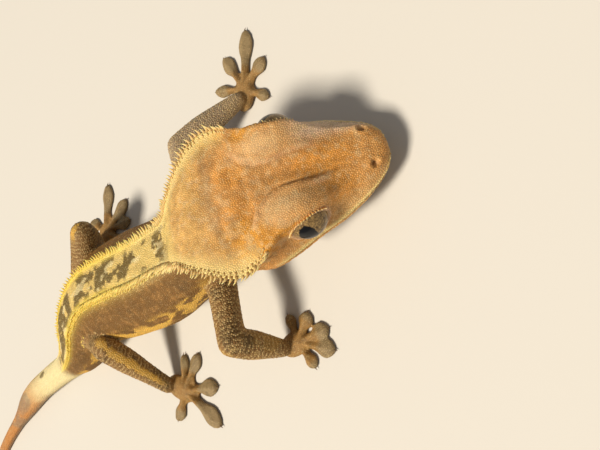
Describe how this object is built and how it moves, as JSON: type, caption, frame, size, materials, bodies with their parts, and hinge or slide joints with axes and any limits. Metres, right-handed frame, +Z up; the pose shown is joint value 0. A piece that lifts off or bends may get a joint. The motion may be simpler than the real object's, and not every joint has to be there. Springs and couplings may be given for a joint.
{
  "type": "crested gecko, still life-size model",
  "caption": "Life-size still model of a crested gecko standing with its head lowered, a fringed crest from the brows to the hips and a slender tail.",
  "frame": {"origin": "middle of the outer box on the floor plane under the soles", "axes": "+X from the tail to the head, +Y to the animal's left, +Z up"},
  "size_m": [0.1818, 0.0734, 0.0254],
  "materials": {
    "head_skin": "finely granular, dull with small damp glints",
    "body_skin": "finely granular, dull",
    "limb_skin": "granular with pale tubercles, dull",
    "foot_skin": "smooth small scales over climbing pads, dull",
    "tail_skin": "small scales in rings, dull",
    "eye": "wet and glossy"
  },
  "bodies": {
    "root": {"head": "head_skin", "lower_jaw": "head_skin", "eye_right": "eye", "eye_left": "eye", "neck": "body_skin", "trunk_front": "body_skin", "trunk_rear": "body_skin", "pelvis": "body_skin", "tail_base": "tail_skin", "tail_middle": "tail_skin", "tail_tip": "tail_skin", "upper_arm_right": "limb_skin", "forearm_right": "limb_skin", "hand_right": "foot_skin", "thigh_right": "limb_skin", "shin_right": "limb_skin", "foot_right": "foot_skin", "upper_arm_left": "limb_skin", "forearm_left": "limb_skin", "hand_left": "foot_skin", "thigh_left": "limb_skin", "shin_left": "limb_skin", "foot_left": "foot_skin"}
  },
  "joints": []
}
